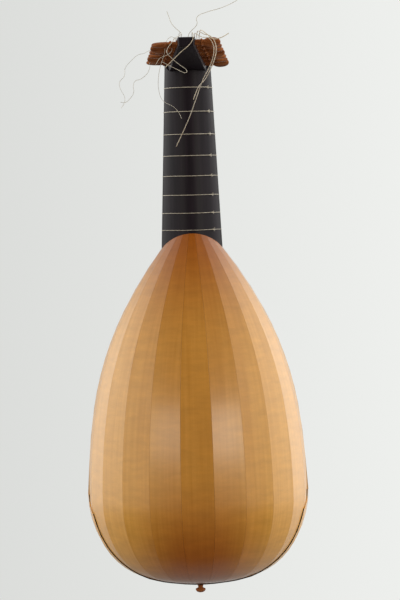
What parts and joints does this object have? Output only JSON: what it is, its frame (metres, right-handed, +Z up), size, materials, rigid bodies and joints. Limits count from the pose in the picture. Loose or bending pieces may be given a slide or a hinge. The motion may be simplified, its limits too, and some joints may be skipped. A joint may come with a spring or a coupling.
{
  "type": "renaissance lute",
  "caption": "Plucked stringed instrument with a ribbed round back, a pierced rose, tied frets and a pegbox bent back at a right angle, strung with loose string ends.",
  "frame": {"origin": "on the outer face of the pegbox floor, on the centre line and 14 mm behind the neck, where a wall hanger's arms hold the lute", "axes": "+Z up along the neck, away from the body; the soundboard faces -Y; the round back and the bent pegbox reach towards +Y; the treble side is +X"},
  "size_m": [0.288, 0.2273, 0.737],
  "materials": {
    "ribwood": "glossy honey-brown varnish",
    "cap": "glossy honey-brown varnish",
    "spruce": "bare, fine straight grain",
    "ebony": "polished near black",
    "plumwood": "waxed red-brown",
    "pearwood": "stained dark brown",
    "bone": "polished bone",
    "gut": "pale gut",
    "wound_gut": "wound gut"
  },
  "bodies": {
    "lute": {"rib_01": "ribwood", "rib_02": "ribwood", "rib_03": "ribwood", "rib_04": "ribwood", "rib_05": "ribwood", "rib_06": "ribwood", "rib_07": "ribwood", "rib_08": "ribwood", "rib_09": "ribwood", "rib_10": "ribwood", "rib_11": "ribwood", "cap_strip": "cap", "end_lining": "spruce", "neck_block": "spruce", "soundboard": "spruce", "bridge": "pearwood", "neck": "ebony", "fingerboard": "ebony", "nut": "bone", "pegbox_floor": "ebony", "pegbox_cheek_bass": "ebony", "pegbox_cheek_treble": "ebony", "pegbox_end_block": "ebony", "end_button": "plumwood", "string_01": "wound_gut", "string_02": "wound_gut", "string_03": "wound_gut", "string_04": "wound_gut", "string_05": "wound_gut", "string_06": "wound_gut", "string_07": "gut", "string_08": "gut", "string_09": "gut", "string_10": "gut", "string_11": "gut", "string_12": "gut", "string_13": "gut"},
    "peg_01_body": {"peg_01": "plumwood"},
    "peg_02_body": {"peg_02": "plumwood"},
    "peg_03_body": {"peg_03": "plumwood"},
    "peg_04_body": {"peg_04": "plumwood"},
    "peg_05_body": {"peg_05": "plumwood"},
    "peg_06_body": {"peg_06": "plumwood"},
    "peg_07_body": {"peg_07": "plumwood"},
    "peg_08_body": {"peg_08": "plumwood"},
    "peg_09_body": {"peg_09": "plumwood"},
    "peg_10_body": {"peg_10": "plumwood"},
    "peg_11_body": {"peg_11": "plumwood"},
    "peg_12_body": {"peg_12": "plumwood"},
    "peg_13_body": {"peg_13": "plumwood"},
    "fret_1_body": {"fret_1": "gut"},
    "fret_2_body": {"fret_2": "gut"},
    "fret_3_body": {"fret_3": "gut"},
    "fret_4_body": {"fret_4": "gut"},
    "fret_5_body": {"fret_5": "gut"},
    "fret_6_body": {"fret_6": "gut"},
    "fret_7_body": {"fret_7": "gut"},
    "fret_8_body": {"fret_8": "gut"}
  },
  "joints": [
    {"name": "peg_01_turn", "type": "hinge", "parent": "lute", "child": "peg_01_body", "pos_m": [0, -0.009, 0.0078], "axis": [1, 0, 0], "continuous": true},
    {"name": "peg_02_turn", "type": "hinge", "parent": "lute", "child": "peg_02_body", "pos_m": [0, 0.0046, 0.00773], "axis": [1, 0, 0], "continuous": true},
    {"name": "peg_03_turn", "type": "hinge", "parent": "lute", "child": "peg_03_body", "pos_m": [0, 0.0182, 0.00767], "axis": [1, 0, 0], "continuous": true},
    {"name": "peg_04_turn", "type": "hinge", "parent": "lute", "child": "peg_04_body", "pos_m": [0, 0.0318, 0.0076], "axis": [1, 0, 0], "continuous": true},
    {"name": "peg_05_turn", "type": "hinge", "parent": "lute", "child": "peg_05_body", "pos_m": [0, 0.0454, 0.00753], "axis": [1, 0, 0], "continuous": true},
    {"name": "peg_06_turn", "type": "hinge", "parent": "lute", "child": "peg_06_body", "pos_m": [0, 0.059, 0.00747], "axis": [1, 0, 0], "continuous": true},
    {"name": "peg_07_turn", "type": "hinge", "parent": "lute", "child": "peg_07_body", "pos_m": [0, 0.0726, 0.0074], "axis": [1, 0, 0], "continuous": true},
    {"name": "peg_08_turn", "type": "hinge", "parent": "lute", "child": "peg_08_body", "pos_m": [0, 0.0862, 0.00733], "axis": [1, 0, 0], "continuous": true},
    {"name": "peg_09_turn", "type": "hinge", "parent": "lute", "child": "peg_09_body", "pos_m": [0, 0.0998, 0.00727], "axis": [1, 0, 0], "continuous": true},
    {"name": "peg_10_turn", "type": "hinge", "parent": "lute", "child": "peg_10_body", "pos_m": [0, 0.1134, 0.0072], "axis": [1, 0, 0], "continuous": true},
    {"name": "peg_11_turn", "type": "hinge", "parent": "lute", "child": "peg_11_body", "pos_m": [0, 0.127, 0.00713], "axis": [1, 0, 0], "continuous": true},
    {"name": "peg_12_turn", "type": "hinge", "parent": "lute", "child": "peg_12_body", "pos_m": [0, 0.1406, 0.00707], "axis": [1, 0, 0], "continuous": true},
    {"name": "peg_13_turn", "type": "hinge", "parent": "lute", "child": "peg_13_body", "pos_m": [0, 0.1542, 0.007], "axis": [1, 0, 0], "continuous": true},
    {"name": "fret_1_slide", "type": "slide", "parent": "lute", "child": "fret_1_body", "axis": [0, 0, 1], "range_m": [-0.004, 0.004]},
    {"name": "fret_2_slide", "type": "slide", "parent": "lute", "child": "fret_2_body", "axis": [0, 0, 1], "range_m": [-0.004, 0.004]},
    {"name": "fret_3_slide", "type": "slide", "parent": "lute", "child": "fret_3_body", "axis": [0, 0, 1], "range_m": [-0.004, 0.004]},
    {"name": "fret_4_slide", "type": "slide", "parent": "lute", "child": "fret_4_body", "axis": [0, 0, 1], "range_m": [-0.004, 0.004]},
    {"name": "fret_5_slide", "type": "slide", "parent": "lute", "child": "fret_5_body", "axis": [0, 0, 1], "range_m": [-0.004, 0.004]},
    {"name": "fret_6_slide", "type": "slide", "parent": "lute", "child": "fret_6_body", "axis": [0, 0, 1], "range_m": [-0.004, 0.004]},
    {"name": "fret_7_slide", "type": "slide", "parent": "lute", "child": "fret_7_body", "axis": [0, 0, 1], "range_m": [-0.004, 0.004]},
    {"name": "fret_8_slide", "type": "slide", "parent": "lute", "child": "fret_8_body", "axis": [0, 0, 1], "range_m": [-0.004, 0.004]}
  ]
}
